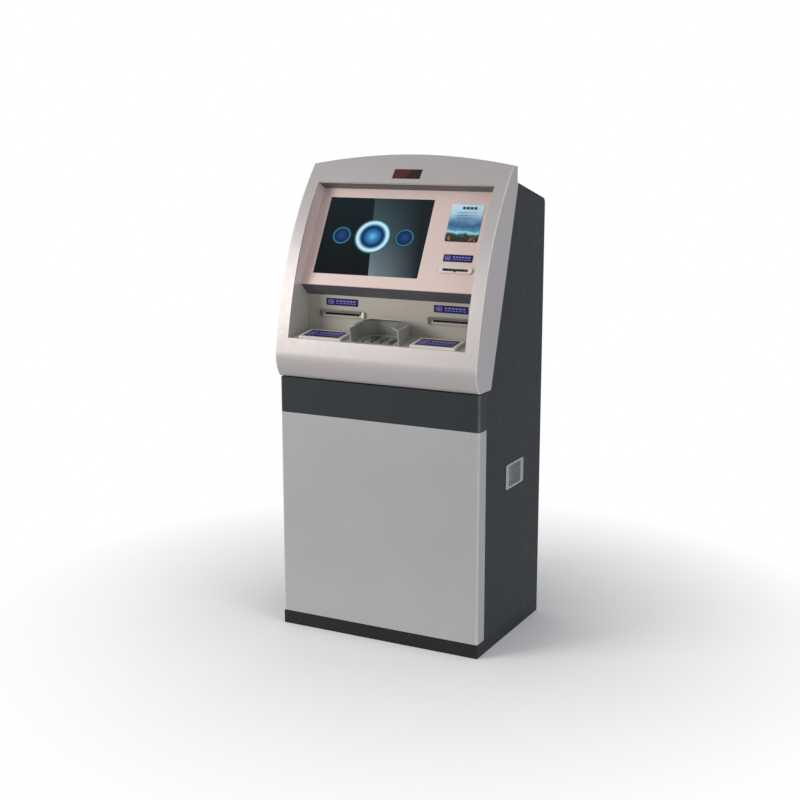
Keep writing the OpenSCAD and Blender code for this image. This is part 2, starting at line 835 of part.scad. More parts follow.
module fan_housing() {
    bar_t = 3;
    bar_w = 8;
    color(dark_plastic) translate([0, fan_at_y, fan_z]) rotate([90, 0, 0]) union() {
        linear_extrude(fan_t) difference() {
            square(fan_frame, center = true);
            circle(r = fan_r, $fn = 64);
        }
        translate([0, 0, fan_t - bar_t]) linear_extrude(bar_t) {
            circle(r = fan_hub, $fn = 48);
            square([fan_frame - 4, bar_w], center = true);
            square([bar_w, fan_frame - 4], center = true);
        }
        translate([0, 0, 4]) cylinder(h = fan_t - 5, r = fan_shaft_r, $fn = 32);
    }
}

module fan_rotor() {
    blades = 7;
    blade = [fan_r - fan_hub + 1, 2, 16];
    blade_pitch = 35;
    color("#2a2b2d") translate([0, fan_at_y, fan_z]) rotate([90, 0, 0]) difference() {
        union() {
            translate([0, 0, 3]) cylinder(h = fan_t - 8, r = fan_hub - 1, $fn = 48);
            for (i = [0:blades - 1]) {
                rotate([0, 0, i * 360 / blades]) translate([fan_hub - 5, 0, 11.5])
                    rotate([blade_pitch, 0, 0])
                        translate([0, -blade[1] / 2, -blade[2] / 2]) cube(blade);
            }
        }
        translate([0, 0, 2]) cylinder(h = fan_t, r = fan_shaft_r + pin_fit, $fn = 32);
    }
}

// ---- Fascia ----
crown_rear_y = crown_y + 4;
module fascia_outline() {
    base = nose_point(chin_a, 0);
    polygon(concat(
        [[slant_foot_y - gap, fascia_base_z], [base[0] + 6, fascia_base_z]],
        front_points(0, body_h),
        [
            [crown_rear_y, body_h],
            [crown_rear_y, roof_front_z + 8],
            [slant_y(roof_front_z - 8) - gap - 1, roof_front_z - 8]
        ]
    ));
}

// The hollow inside the fascia, open to the cabinet behind it
module fascia_hollow() {
    base = nose_point(chin_a, skin_t);
    top_z = body_h - crown_drop - skin_t;
    back = back_y - 150;
    polygon(concat(
        [[back, fascia_base_z + skin_t], [base[0] + 6, fascia_base_z + skin_t]],
        front_points(skin_t, top_z),
        [
            [crown_rear_y - skin_t, top_z],
            [crown_rear_y - skin_t, roof_front_z + 8],
            [back, roof_front_z + 8]
        ]
    ));
}

module fascia_shell() {
    color(warm_silver) union() {
        intersection() {
            difference() {
                along_x(body_w) fascia_outline();
                along_x(body_w - 2 * skin_t) fascia_hollow();
                block([-recess_x, front_y - 1, recess_low_z],
                    [recess_x, sweep_y(recess_top_z) + 20, recess_top_z]);
                window_frame() translate([0, 0, -10])
                    linear_extrude(20) square(window_size, center = true);
            }
            crown_arch();
        }
        for (s = [0, 1]) {
            mirror([s, 0, 0]) bar_x(strut_x - stud_in, half_w - skin_t + 1, strut_stud, strut_stud_r);
        }
    }
}

// Places children on the fascia skin at the crown's window, Z out of the skin
window_z = body_h - 59;
window_size = [98, 37];
module window_frame() {
    p = sweep_point(window_z, 0);
    translate([0, p[0], p[1]]) rotate([90 - sweep_lean(window_z), 0, 0]) children();
}

module sensor_window() {
    flange = [10, 9];
    flange_t = 3;
    sensor_size = [60, 28];
    color("#2a0c10") window_frame() union() {
        translate([0, 0, -6]) linear_extrude(5.5) square(window_size, center = true);
        translate([0, 0, -7.5]) linear_extrude(flange_t) square(window_size + flange, center = true);
        translate([0, 0, -24]) linear_extrude(17) square(sensor_size, center = true);
    }
}

module recess_liner() {
    wall_points = concat(
        [for (i = [0:12])
            sweep_point(recess_low_z + (recess_top_z - recess_low_z) * i / 12, skin_t + liner_gap)],
        [panel_top, panel_low, niche_path[1], niche_path[2]]
    );
    top_path = [sweep_point(recess_top_z, skin_t + 2 * liner_gap), panel_top];
    color(niche_grey) difference() {
        union() {
            for (s = [0, 1]) {
                mirror([s, 0, 0]) translate([recess_x, 0, 0])
                    rotate([90, 0, 90]) linear_extrude(liner_t) polygon(wall_points);
            }
            folded_sheet(niche_path, liner_t, recess_w + 2 * liner_t);
            folded_sheet(top_path, liner_t, recess_w + 2 * liner_t);
        }
        for (x = slot_xs) {
            on_niche(x, slot_z) block([-slot_size[0] / 2 - 2, -slot_size[1] / 2 - 2, -10],
                [slot_size[0] / 2 + 2, slot_size[1] / 2 + 2, 10]);
        }
        on_shelf(0, pin_pad_up) translate([0, 0, -10]) linear_extrude(20)
            square([pin_pad_size[0] + 1, pin_pad_size[1] + 1], center = true);
    }
}

module screen_panel() {
    color(panel_beige) difference() {
        on_panel(0, 0) block([-recess_x, liner_t, -liner_t], [recess_x, panel_len, 0]);
        on_panel(screen_x, screen_up) translate([0, 0, -10]) linear_extrude(20)
            square([screen_w + 1, screen_h + 1], center = true);
        on_panel(receipt_x, receipt_up) translate([0, 0, -10]) linear_extrude(20)
            square([receipt_slot[0] + 6, receipt_slot[1] + 6], center = true);
    }
}

module monitor() {
    rim = 9;
    panel_t = 31;
    box_t = 10;
    box_in = 30;
    color("#26282b") on_panel(screen_x, screen_up) union() {
        translate([0, 0, -glass_back - panel_t]) linear_extrude(panel_t)
            square([screen_w + 2 * rim, screen_h + 2 * rim], center = true);
        translate([0, 0, -glass_back - panel_t - box_t]) linear_extrude(box_t + 1)
            square([screen_w - 2 * box_in, screen_h - 2 * box_in], center = true);
    }
}

module touch_glass() {
    color("#0b0e12") on_panel(screen_x, screen_up) translate([0, 0, -glass_back]) linear_extrude(4)
        square([screen_w, screen_h], center = true);
}

module info_card() {
    color("#9fd0e6") on_panel(card_x, card_up) round_plate(card_size, 6, 1.5);
}

module label_plates() {
    color(navy) union() {
        on_panel(card_x + 4, top_label_up) round_plate(top_label_size, 2, 1);
        for (x = label_xs) on_niche(x, label_z) round_plate(label_size, 2, 1);
        for (s = [-1, 1]) {
            on_shelf(s * pad_x, pad_size[1] / 2)
                translate([0, 0, pad_size[2] - pad_film[2]])
                    linear_extrude(pad_film[2]) square([pad_film[0], pad_film[1]], center = true);
        }
    }
}

module receipt_bezel() {
    color("#d8d6d0") on_panel(receipt_x, receipt_up) difference() {
        union() {
            round_plate(receipt_size, 10, 6);
            translate([0, 0, -liner_t]) linear_extrude(liner_t + 1)
                square([receipt_slot[0] + 5, receipt_slot[1] + 5], center = true);
        }
        translate([0, 0, -9]) linear_extrude(20) square(receipt_slot, center = true);
        translate([0, -receipt_slot[1] / 2, -9]) cylinder(h = 20, r = 4, $fn = 48);
    }
}

module slot_bezels() {
    hood_h = 8;
    hood_out = 15;
    plate_t = 5;
    cheek_w = 10;
    cheek_out = 8;
    color("#8d8f93") for (x = slot_xs) {
        on_niche(x, slot_z) union() {
            difference() {
                union() {
                    block([-slot_bezel[0] / 2, -slot_bezel[1] / 2, 0],
                        [slot_bezel[0] / 2, slot_bezel[1] / 2, plate_t]);
                    block([-slot_size[0] / 2 - 2, -slot_size[1] / 2 - 2, -6],
                        [slot_size[0] / 2 + 2, slot_size[1] / 2 + 2, 1]);
                }
                block([-slot_size[0] / 2, -slot_size[1] / 2, -10],
                    [slot_size[0] / 2, slot_size[1] / 2, 10]);
            }
            block([-slot_bezel[0] / 2 + cheek_w, slot_size[1] / 2, plate_t - 1],
                [slot_bezel[0] / 2 - cheek_w, slot_size[1] / 2 + hood_h, hood_out]);
            for (x0 = [-slot_bezel[0] / 2, slot_bezel[0] / 2 - cheek_w]) {
                block([x0, -slot_bezel[1] / 2, plate_t - 1],
                    [x0 + cheek_w, slot_bezel[1] / 2, cheek_out]);
            }
        }
    }
}

module reader_pads() {
    color(steel) for (s = [-1, 1]) {
        on_shelf(s * pad_x, pad_size[1] / 2) difference() {
            linear_extrude(pad_size[2]) square([pad_size[0], pad_size[1]], center = true);
            translate([0, 0, pad_size[2] - pad_film[2]])
                linear_extrude(pad_film[2] + 1) square([pad_film[0], pad_film[1]], center = true);
        }
    }
}

// Shield profile, from the shelf up: upright wall, then a lip leaning in and up
module shield_profile() {
    inner_r = shield_r - shield_t;
    polygon([
        [inner_r, 0], [shield_r, 0], [shield_r, shield_h], [shield_r - shield_lip, shield_h + 9],
        [shield_r - shield_lip, shield_h + 5], [inner_r, shield_h - 3]
    ]);
}

// The shield: two side walls, two rounded back corners and a back wall, with inner foot ledges
module pin_shield() {
    flat = shield_r - shield_corner;
    ledge = [14, 3];
    color("#8f9290") on_shelf(0, shield_straight) union() {
        for (s = [0, 1]) {
            mirror([s, 0, 0]) {
                translate([flat, flat, 0]) rotate_extrude(angle = 90, $fn = 72)
                    translate([-flat, 0]) shield_profile();
                translate([0, flat, 0]) rotate([90, 0, 0])
                    linear_extrude(flat + shield_straight) shield_profile();
                block([shield_r - shield_t - ledge[0], -shield_straight, 0],
                    [shield_r - shield_t + 1, 0, ledge[1]]);
            }
        }
        translate([-flat, 0, 0]) rotate([90, 0, 90]) linear_extrude(2 * flat) shield_profile();
    }
}

function key_col(i) = (i % 3) - 1;
function key_row(i) = 1.5 - floor(i / 3);
module key_place(i) {
    on_shelf(key_col(i) * key_pitch[0], pin_pad_up + key_row(i) * key_pitch[1]) children();
}

module pin_pad() {
    wall = 3;
    floor_t = 2;
    plate_t = 2;
    top = 2;
    color("#6e716f") difference() {
        on_shelf(0, pin_pad_up) difference() {
            translate([0, 0, top - pin_pad_depth]) linear_extrude(pin_pad_depth)
                square(pin_pad_size, center = true);
            translate([0, 0, top - pin_pad_depth + floor_t])
                linear_extrude(pin_pad_depth - floor_t - plate_t)
                    square([pin_pad_size[0] - 2 * wall, pin_pad_size[1] - 2 * wall], center = true);
        }
        for (i = [0:11]) {
            key_place(i) translate([0, 0, -1]) linear_extrude(5)
                square([key_size[0] + 2 * key_gap, key_size[1] + 2 * key_gap], center = true);
        }
    }
}

// A key: its cap stands above the plate, and a rim holds it under the plate
module pin_key(i) {
    cap_top = 2 + key_stand;
    rim_top = -key_gap;
    color("#b9bcbb") key_place(i) union() {
        translate([0, 0, rim_top - 1]) linear_extrude(cap_top - rim_top + 1)
            square(key_size, center = true);
        translate([0, 0, rim_top - 1]) linear_extrude(1)
            square([key_size[0] + 2 * key_rim, key_size[1] + 2 * key_rim], center = true);
    }
}

module key_1() { pin_key(0); }
module key_2() { pin_key(1); }
module key_3() { pin_key(2); }
module key_4() { pin_key(3); }
module key_5() { pin_key(4); }
module key_6() { pin_key(5); }
module key_7() { pin_key(6); }
module key_8() { pin_key(7); }
module key_9() { pin_key(8); }
module key_10() { pin_key(9); }
module key_11() { pin_key(10); }
module key_12() { pin_key(11); }

// Receipt printer behind the panel, with an open cradle for its paper roll
printer_w = 118;
roll_r = 32;
roll_w = 80;
roll_at = [-28, -62];
roll_bar_r = 6;
printer_top = -3;
module receipt_printer() {
    wall = 4;
    low = -64;
    high = 16;
    head = [-8, -24];
    tie = [10, 5];
    color("#3c3f42") on_panel(receipt_x, receipt_up) union() {
        for (x0 = [-printer_w / 2, printer_w / 2 - wall]) {
            block([x0, low, -100], [x0 + wall, high, printer_top]);
        }
        block([-printer_w / 2, head[0], head[1]], [printer_w / 2, high, head[0]]);
        block([-printer_w / 2, low, printer_top - tie[1]], [printer_w / 2, low + tie[0], printer_top]);
        bar_x(-printer_w / 2, printer_w / 2, roll_at, roll_bar_r);
    }
}

module paper_roll() {
    color("#f2f1ec") on_panel(receipt_x, receipt_up) difference() {
        bar_x(-roll_w / 2, roll_w / 2, roll_at, roll_r);
        bar_x(-roll_w, roll_w, roll_at, roll_bar_r + pin_fit);
    }
}

module document_unit() {
    half = 72;
    color("#3c3f42") on_niche(slot_xs[0], slot_z) difference() {
        block([-half, -32, -118], [half, 30, -6]);
        block([-slot_size[0] / 2, -slot_size[1] / 2, -note_reach],
            [slot_size[0] / 2, slot_size[1] / 2, 0]);
    }
}

// ---- Gas struts ----
// Places children at the strut's root stud, with Z along the strut
module on_strut(side) {
    translate([side * strut_x, strut_root[0], strut_root[1]])
        rotate([strut_a - 90, 0, 0]) children();
}

module strut_cylinders() {
    color("#202224") for (s = [-1, 1]) {
        on_strut(s) difference() {
            union() {
                rotate([0, 90, 0]) cylinder(h = 10, r = strut_tube_r, center = true, $fn = 48);
                translate([0, 0, 5]) cylinder(h = strut_tube_len, r = strut_tube_r, $fn = 48);
            }
            rotate([0, 90, 0]) translate([0, 0, -6])
                cylinder(h = 12, r = strut_stud_r + pin_fit, $fn = 48);
            translate([0, 0, strut_bore[0]])
                cylinder(h = strut_bore[1] - strut_bore[0], r = strut_bore_r, $fn = 48);
            translate([0, 0, strut_bore[0] - 1])
                cylinder(h = strut_tube_len - 10, r = strut_rod_r + pin_fit, $fn = 48);
        }
    }
}

module strut_rods() {
    eye_r = strut_stud_r + strut_eye_slack;
    color("#c9ccd0") for (s = [-1, 1]) {
        on_strut(s) difference() {
            union() {
                translate([0, 0, strut_piston[0] + 4])
                    cylinder(h = strut_len - strut_piston[0] - 4 - eye_r, r = strut_rod_r, $fn = 48);
                translate([0, 0, strut_piston[0]])
                    cylinder(h = strut_piston[1], r = strut_bore_r - pin_fit, $fn = 48);
                translate([0, 0, strut_len]) rotate([0, 90, 0])
                    cylinder(h = 8, r = eye_r + 3, center = true, $fn = 48);
            }
            translate([0, 0, strut_len]) rotate([0, 90, 0]) translate([0, 0, -6])
                cylinder(h = 12, r = eye_r, $fn = 48);
        }
    }
}

plinth();
floor_pan();
side_panel_left();
side_panel_right();
rear_frame();
roof_panel();
front_frame();
band_panel();
mid_shelf();
side_handles();
levelling_feet();
power_inlet();
safe_box();
cash_dispenser();
cash_cassettes();
computer();
power_supply();
pivot_bushes();
hinge_leaves();
cabinet_screws();
front_door();
door_pins();
door_bolts();
rear_door();
rear_door_pins();
lock_plug();
fan_housing();
fan_rotor();
fascia_shell();
recess_liner();
screen_panel();
monitor();
touch_glass();
info_card();
label_plates();
receipt_bezel();
slot_bezels();
reader_pads();
pin_shield();
pin_pad();
sensor_window();
receipt_printer();
document_unit();
hinge_knuckles();
paper_roll();
strut_cylinders();
strut_rods();
key_1();
key_2();
key_3();
key_4();
key_5();
key_6();
key_7();
key_8();
key_9();
key_10();
key_11();
key_12();
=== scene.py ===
import json
import math

import bmesh
import bpy
from mathutils import Matrix, Vector


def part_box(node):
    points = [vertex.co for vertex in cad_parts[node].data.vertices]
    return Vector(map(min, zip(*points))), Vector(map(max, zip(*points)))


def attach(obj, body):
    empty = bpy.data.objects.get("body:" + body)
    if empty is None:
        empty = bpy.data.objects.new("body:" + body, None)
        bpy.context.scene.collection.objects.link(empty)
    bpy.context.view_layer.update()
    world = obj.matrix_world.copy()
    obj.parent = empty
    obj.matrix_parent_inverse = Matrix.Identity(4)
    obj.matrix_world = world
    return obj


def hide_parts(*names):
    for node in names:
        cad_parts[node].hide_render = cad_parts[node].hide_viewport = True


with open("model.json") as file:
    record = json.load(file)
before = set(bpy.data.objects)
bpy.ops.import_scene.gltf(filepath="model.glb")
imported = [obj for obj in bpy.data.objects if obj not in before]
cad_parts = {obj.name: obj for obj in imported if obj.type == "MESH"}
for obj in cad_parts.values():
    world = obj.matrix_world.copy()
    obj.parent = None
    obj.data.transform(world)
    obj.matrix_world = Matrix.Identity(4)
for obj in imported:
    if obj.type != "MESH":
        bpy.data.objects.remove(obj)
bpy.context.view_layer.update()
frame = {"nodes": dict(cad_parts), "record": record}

# ---- Cabinet sides, roof and rear frame ----
# Folded 3 mm sheet steel under a charcoal polyester powder coat. The powder melts into a fine
# orange peel and stays satin on the flats; its folded edges are painted paler, as rubbed wear and as a
# painted highlight.
record = frame["record"]
body_of_node = {node: body for body, nodes in record["behaviour"]["bodies"].items() for node in nodes}
slot_of_node = {part["node"]: part["material_slot"] for part in record["subparts"]}
flat_angle = math.radians(0.3)
sharp_angle = math.radians(28)
# Sizes are in metres, and scales count a pattern's repeats in a metre
weld_distance = 2e-5
sheet_fold = 0.0012
paint_cloud_scale = 5    # faint clouds, 200 mm across
paint_smear_scale = 38    # wipe marks, 26 mm across
paint_gloss_swing = 0.08
noise_span = {"From Min": 0.3, "From Max": 0.7}    # where nearly all of a noise's values lie
noise_sum_span = {"From Min": 0.6, "From Max": 1.4}


def linear(colour):
    """Turns an sRGB hex colour into linear red, green, blue and alpha."""
    parts = [int(colour[i:i + 2], 16) / 255 for i in (1, 3, 5)]
    return [p / 12.92 if p <= 0.04045 else ((p + 0.055) / 1.055) ** 2.4 for p in parts] + [1.0]


def set_sockets(material, node, feeds):
    """Gives a node's sockets their values, or links them to another node's output."""
    for socket, value in feeds.items():
        if isinstance(value, bpy.types.NodeSocket):
            material.node_tree.links.new(value, node.inputs[socket])
        else:
            node.inputs[socket].default_value = value


def add_node(material, kind, feeds=None, out=0, stops=(), **settings):
    """Adds a shader node with its settings, feeds and ramp stops, and returns one of its outputs."""
    made = material.node_tree.nodes.new("ShaderNode" + kind)
    for name, value in settings.items():
        setattr(made, name, value)
    for index, (position, colour) in enumerate(stops):
        steps = made.color_ramp.elements
        step = steps.new(position) if index > 1 else steps[index]
        step.position = position
        step.color = linear(colour)
    set_sockets(material, made, feeds or {})
    return made.outputs[out]


def new_finish(name):
    """Starts a node material: the material, its surface shader and its object coordinates."""
    material = bpy.data.materials.new(name)
    material.use_nodes = True
    material.node_tree.nodes.clear()
    surface = material.node_tree.nodes.new("ShaderNodeBsdfPrincipled")
    end = material.node_tree.nodes.new("ShaderNodeOutputMaterial")
    material.node_tree.links.new(surface.outputs[0], end.inputs[0])
    return material, surface, add_node(material, "TexCoord", out="Object")


def painted(name, colour, worn_and_highlight, roughness, grain=0.005, peel=0.00008, clouding=0.05, **fixed):
    """Powder coat or wet paint: orange peel, faint clouding, and edges painted paler as wear and as a
    painted highlight.
    """
    material, surface, place = new_finish(name)
    skin = add_node(
        material, "TexNoise", {"Vector": place, "Scale": 1 / grain, "Detail": 3, "Roughness": 0.55})
    cloud = add_node(
        material, "TexNoise",
        {"Vector": place, "Scale": paint_cloud_scale, "Detail": 4, "Roughness": 0.6})
    smear = add_node(
        material, "TexNoise",
        {"Vector": place, "Scale": paint_smear_scale, "Detail": 5, "Roughness": 0.7})
    tone = add_node(
        material, "MapRange",
        {"Value": cloud, **noise_span, "To Min": 1 - clouding, "To Max": 1 + clouding})
    clouded = add_node(
        material, "VectorMath", {0: linear(colour)[:3], "Scale": tone}, operation="SCALE")
    # The rounded edge strips turn paler: partly rubbed wear, partly a painted highlight along the
    # edges.
    edge = add_node(material, "Attribute", out="Fac", attribute_name="edge_wear_and_highlight")
    wear_and_highlight_share = add_node(material, "Math", {0: edge, 1: smear}, operation="MULTIPLY")
    shade = add_node(material, "Mix", {0: wear_and_highlight_share, 6: clouded, 7: linear(worn_and_highlight)}, out=2, data_type="RGBA")
    wiped = add_node(material, "Math", {0: smear, 1: skin}, operation="ADD")
    gloss = add_node(
        material, "MapRange",
        {"Value": wiped, **noise_sum_span,
         "To Min": roughness - paint_gloss_swing, "To Max": roughness + paint_gloss_swing})
    bump = add_node(material, "Bump", {"Height": skin, "Strength": 0.6, "Distance": peel})
    set_sockets(material, surface, {"Base Color": shade, "Roughness": gloss, "Normal": bump, **fixed})
    return material


def merged_copy(node):
    """A copy of a CAD node's loose triangles, welded, with its flats made whole."""
    shape = bmesh.new()
    shape.from_mesh(frame["nodes"][node].data)
    bmesh.ops.remove_doubles(shape, verts=shape.verts, dist=weld_distance)
    bmesh.ops.dissolve_limit(
        shape, angle_limit=flat_angle, verts=shape.verts[:], edges=shape.edges[:])
    shape.faces.layers.float.new("edge_wear_and_highlight")
    return shape


def sharp_edges(shape, test=None):
    """The edges that turn sharply, all of them or those that pass a test on their middle."""
    wear_and_highlight_layer = shape.faces.layers.float["edge_wear_and_highlight"]
    return [
        edge for edge in shape.edges
        if len(edge.link_faces) == 2 and edge.calc_face_angle() > sharp_angle
        and not any(face[wear_and_highlight_layer] for face in edge.link_faces)
        and (test is None or test((edge.verts[0].co + edge.verts[1].co) / 2, edge))]


def round_edges(shape, edges, radius, steps=2):
    """Rounds the edges and marks the new strip, which the finishes paint paler as wear and as a
    painted highlight.
    """
    if not edges:
        return
    made = bmesh.ops.bevel(
        shape, geom=edges, offset=radius, offset_type="OFFSET", segments=steps, profile=0.5,
        affect="EDGES", clamp_overlap=True, material=-1)
    wear_and_highlight_layer = shape.faces.layers.float["edge_wear_and_highlight"]
    for face in made["faces"]:
        face[wear_and_highlight_layer] = 1.0


def make_piece(name, shape, body, *materials, slot=None, replaced=()):
    """Puts a finished shape into the scene, smooth but for its sharp edges, and on its body."""
    bmesh.ops.dissolve_degenerate(shape, dist=weld_distance, edges=shape.edges[:])
    for face in shape.faces:
        face.smooth = True
    for edge in shape.edges:
        edge.smooth = len(edge.link_faces) == 2 and edge.calc_face_angle(0) < sharp_angle
    mesh = bpy.data.meshes.new(name)
    shape.to_mesh(mesh)
    shape.free()
    # The CAD node's stored corner normals don't fit the rounded shape
    old_normals = mesh.attributes.get("custom_normal")
    if old_normals:
        mesh.attributes.remove(old_normals)
    for material in materials:
        mesh.materials.append(material)
    piece = bpy.data.objects.new(name, mesh)
    bpy.context.scene.collection.objects.link(piece)
    piece.modifiers.new("flat faces shade flat", "WEIGHTED_NORMAL").keep_sharp = True
    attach(piece, body)
    if replaced:
        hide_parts(*replaced)
    return piece


def finish_node(node, material, radius, *others, shape=None, detail=None):
    """Makes one CAD node's finished piece: its sharp edges rounded, then any detail added."""
    shape = shape or merged_copy(node)
    round_edges(shape, sharp_edges(shape), radius)
    for face in shape.faces:
        face.material_index = 0
    if detail:
        detail(shape)
    return make_piece(
        node + "_made", shape, body_of_node[node], material, *others,
        slot=slot_of_node[node], replaced=[node])


coat_shine = {"Specular IOR Level": 0.25}
charcoal = painted("charcoal_powder_coat", "#20262b", "#5a6066", 0.45, **coat_shine)
for node in ("side_panel_left", "side_panel_right", "roof_panel", "rear_frame"):
    finish_node(node, charcoal, sheet_fold)

# ---- Plinth, band and inner front frame ----
# The base and the band between door and head are folded steel too, in near black and in
# graphite. The band's upright front edges are bent to a 6 mm radius, like the door's.
upright_fold = 0.006
plinth_fold = 0.0015
shortest_upright = 0.02
on_face = 1e-4    # a corner this near to a face lies on it
graphite = painted("graphite_powder_coat", "#2c3134", "#6b7074", 0.45, **coat_shine)
plinth_black = painted("plinth_black_powder_coat", "#191d20", "#4e5256", 0.45, **coat_shine)
finish_node("plinth", plinth_black, plinth_fold)
finish_node("front_frame", plinth_black, sheet_fold)


def front_uprights(node):
    """Finds a front panel's two upright outer edges."""
    low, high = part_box(node)
    return lambda middle, edge: (
        abs(middle.y - low.y) < on_face
        and min(abs(middle.x - low.x), abs(middle.x - high.x)) < on_face
        and abs(edge.verts[0].co.z - edge.verts[1].co.z) > shortest_upright)


band = merged_copy("band_panel")
round_edges(band, sharp_edges(band, front_uprights("band_panel")), upright_fold, steps=4)
finish_node("band_panel", graphite, sheet_fold, shape=band)

# ---- Lower front door ----
# A folded steel door, 52 mm deep, sprayed satin silver grey. It turns on two pins at its left
# edge, both its upright front edges have the larger round, and its inner pan carries the bolt work.
door_silver = painted(
    "satin_silver_door_paint", "#adaeb0", "#d4d4d2", 0.40, grain=0.003, peel=0.00004,
    clouding=0.025, Metallic=0.25)
door = merged_copy("front_door")
round_edges(door, sharp_edges(door, front_uprights("front_door")), upright_fold, steps=4)
finish_node("front_door", door_silver, sheet_fold, shape=door)

# ---- Steel fittings: hinges, pins, bolts, floor pan, shelf, struts ----
# Mild steel with bright zinc plating, rolled in one direction. The plating is a little cloudy
# and its grain is drawn coarse, because the real rolling lines are finer than the eye sees here.
plating_cloud_scale = 24    # cloudy plating, 40 mm across
metal_gloss_swing = 0.1
cut_edge = 0.0006
turned_edge = 0.0004
bush_edge = 0.0003
no_grain = (1, 1, 1)


def bare_metal(name, colour, roughness, along=(1, 1, 14), grain=0.0016, **fixed):
    """A metal surface: fine lines along one direction, with cloudy gloss."""
    material, surface, place = new_finish(name)
    turned = add_node(material, "Mapping", {"Vector": place, "Scale": along})
    # The lines run ten grains long, and the squeeze across them makes them under a grain wide
    lines = add_node(
        material, "TexNoise", {"Vector": turned, "Scale": 0.1 / grain, "Detail": 4, "Roughness": 0.7})
    cloud = add_node(
        material, "TexNoise",
        {"Vector": place, "Scale": plating_cloud_scale, "Detail": 4, "Roughness": 0.6})
    tone = add_node(
        material, "MapRange", {"Value": cloud, **noise_span, "To Min": 0.88, "To Max": 1.06})
    shade = add_node(material, "VectorMath", {0: linear(colour)[:3], "Scale": tone}, operation="SCALE")
    mixed = add_node(material, "Math", {0: lines, 1: cloud}, operation="ADD")
    gloss = add_node(
        material, "MapRange",
        {"Value": mixed, **noise_sum_span,
         "To Min": roughness - metal_gloss_swing, "To Max": roughness + metal_gloss_swing})
    bump = add_node(material, "Bump", {"Height": lines, "Strength": 0.35, "Distance": 0.00005})
    set_sockets(material, surface, {
        "Base Color": shade, "Roughness": gloss, "Normal": bump, "Metallic": 1.0, **fixed})
    return material


zinc = bare_metal("bright_zinc_plated_steel", "#b9bcbf", 0.38)
for node in ("floor_pan", "mid_shelf", "hinge_leaves", "hinge_knuckles", "door_bolts"):
    finish_node(node, zinc, cut_edge)
for node in ("door_pins", "rear_door_pins", "cabinet_screws", "lock_plug", "strut_rods"):
    finish_node(node, zinc, turned_edge)
bronze = bare_metal("sintered_bronze", "#a97f45", 0.5, along=no_grain, grain=0.0006)
finish_node("pivot_bushes", bronze, bush_edge)
strut_black = painted("black_strut_lacquer", "#17191b", "#55585a", 0.3, grain=0.003)
finish_node("strut_cylinders", strut_black, cut_edge)

# ---- Recessed carrying handles ----
# Zinc die-cast cups with a flat frame, blasted and clear coated to a satin sheen, screwed
# into a cut-out in each side panel.
cast_edge = 0.0012
satin_cast = bare_metal("satin_zinc_casting", "#c6c9cb", 0.42, along=no_grain, grain=0.0008)
finish_node("side_handles", satin_cast, cast_edge)

# ---- Moulded black fittings ----
# Feet, mains inlet, fan and module housings are black ABS from tools with a fine spark-eroded
# texture, which breaks up its gloss.
moulding_cloud_scale = 9    # slow changes of tone, 110 mm across
moulding_gloss_swing = 0.05
moulded_edge = 0.0008


def moulded(name, colour, roughness, grain=0.0016, depth=0.00006, **fixed):
    """Moulded plastic: a fine eroded texture with slightly uneven gloss and tone."""
    material, surface, place = new_finish(name)
    pits = add_node(
        material, "TexVoronoi", {"Vector": place, "Scale": 1 / grain, "Randomness": 1.0},
        feature="SMOOTH_F1")
    cloud = add_node(
        material, "TexNoise",
        {"Vector": place, "Scale": moulding_cloud_scale, "Detail": 4, "Roughness": 0.6})
    tone = add_node(
        material, "MapRange", {"Value": cloud, **noise_span, "To Min": 0.95, "To Max": 1.05})
    toned = add_node(material, "VectorMath", {0: linear(colour)[:3], "Scale": tone}, operation="SCALE")
    gloss = add_node(
        material, "MapRange",
        {"Value": cloud, **noise_span,
         "To Min": roughness - moulding_gloss_swing, "To Max": roughness + moulding_gloss_swing})
    bump = add_node(material, "Bump", {"Height": pits, "Strength": 0.5, "Distance": depth})
    set_sockets(material, surface, {"Base Color": toned, "Roughness": gloss, "Normal": bump, **fixed})
    return material


black_abs = moulded("black_textured_abs", "#17181a", 0.48)
for node in ("levelling_feet", "power_inlet", "fan_housing", "fan_rotor", "monitor",
             "receipt_printer", "document_unit", "computer"):
    finish_node(node, black_abs, moulded_edge)

# ---- Safe, dispenser, cassettes and power supply ----
# A plate steel safe in hammer grey paint holds four blue moulded cassettes. The dispenser and
# the power supply have covers of plain grey moulded plastic.
plate_edge = 0.0015
cover_edge = 0.001
cassette_edge = 0.002
hammer_grey = painted(
    "hammer_grey_safe_paint", "#4d5254", "#83888a", 0.38, grain=0.006, peel=0.0003)
module_grey = moulded("grey_abs_module_cover", "#84888b", 0.5)
cassette_blue = moulded("blue_cassette_abs", "#2c4763", 0.44)
finish_node("safe_box", hammer_grey, plate_edge)
finish_node("cash_dispenser", module_grey, cover_edge)
finish_node("power_supply", module_grey, cover_edge)
finish_node("cash_cassettes", cassette_blue, cassette_edge)

# ---- Rear service door ----
# A folded charcoal door with pressed vent slots. It hangs on two pins, and carries a cam lock
# and the fan on its inner side. The press leaves its edges crisper than the cabinet's folds.
pressed_edge = 0.0008
finish_node("rear_door", charcoal, pressed_edge)

# ---- Fascia moulding ----
# One large moulding, sprayed in warm silver with fine metal flake under a satin lacquer. Its
# front and side meet in an 8 mm round that runs from the crown to the nose and catches the light.
side_round = 0.008
crown_round = 0.003
rim_round = 0.0015
looks_along = 0.5    # a face looks along an axis when its normal has this much of it
arch_level = 0.97
arch_drop = 0.9
crown_depth = 0.05
rim_inset = 0.02
# The pale cream edge colour on the rounded edges is mostly a painted highlight along the 8 mm round.
silver = painted(
    "warm_silver_flake_lacquer", "#b4b0b1", "#efe7d8", 0.44, grain=0.0022, peel=0.00003,
    clouding=0.02, Metallic=0.3)
shell = merged_copy("fascia_shell")
shell_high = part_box("fascia_shell")[1]


